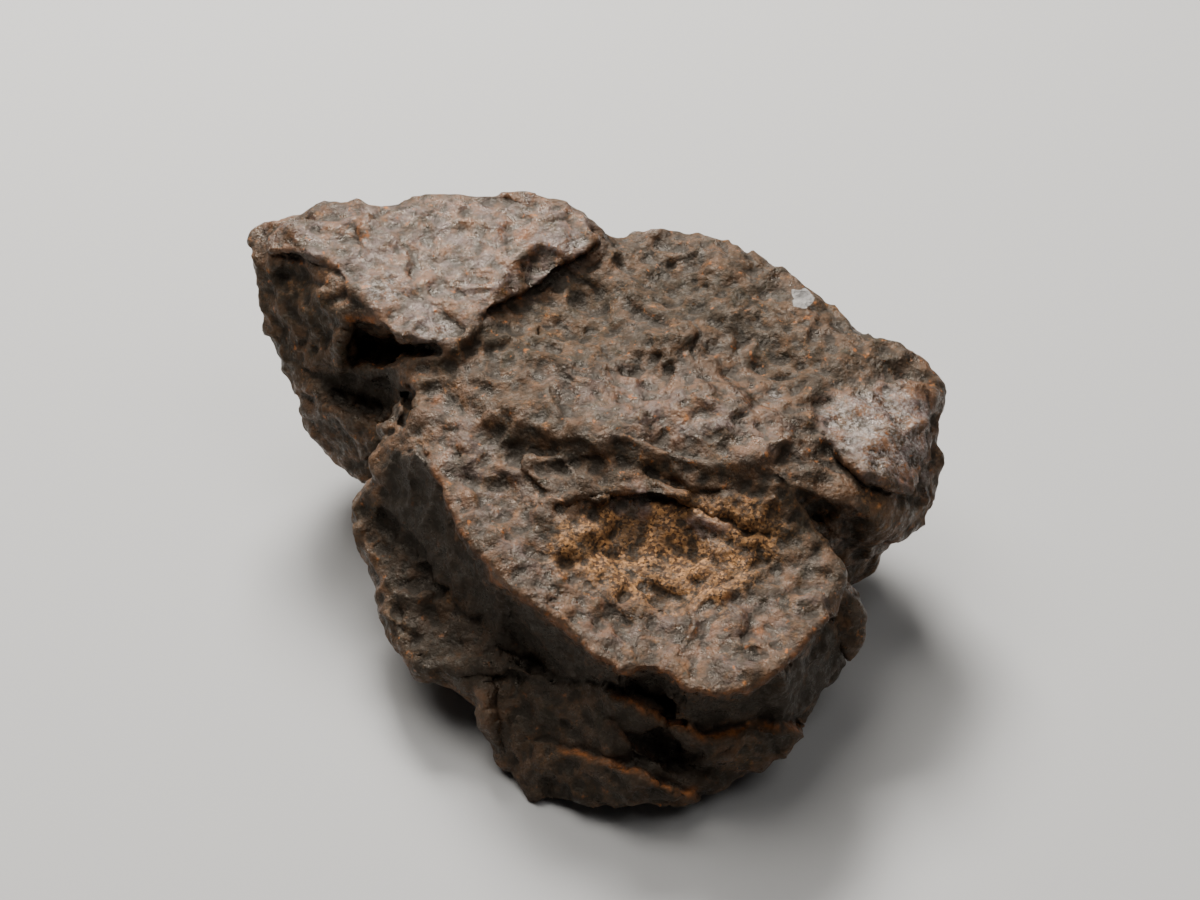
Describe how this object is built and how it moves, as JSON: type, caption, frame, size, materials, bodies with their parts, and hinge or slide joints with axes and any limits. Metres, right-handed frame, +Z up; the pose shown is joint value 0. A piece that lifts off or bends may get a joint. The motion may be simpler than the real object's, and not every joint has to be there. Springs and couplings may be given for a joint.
{
  "type": "chondrite meteorite",
  "caption": "Palm-sized stony meteorite: angular rust-brown lump with a raised head, a stepped slab and a small flat resting spot.",
  "frame": {"origin": "middle of the stone's plan, in the plane it rests on", "axes": "+X along the longest extent, from the pointed head end to the shoulder end; +Y to the back; +Z up from the resting spot, the shortest extent"},
  "size_m": [0.063, 0.0538, 0.0285],
  "materials": {
    "weathered_chondrite": "Weathered chondrite: chocolate brown mottled with olive, rust and ochre, with a satin desert-polished sheen on the raised faces."
  },
  "bodies": {
    "root": {"chondrite_stone": "weathered_chondrite"}
  },
  "joints": []
}
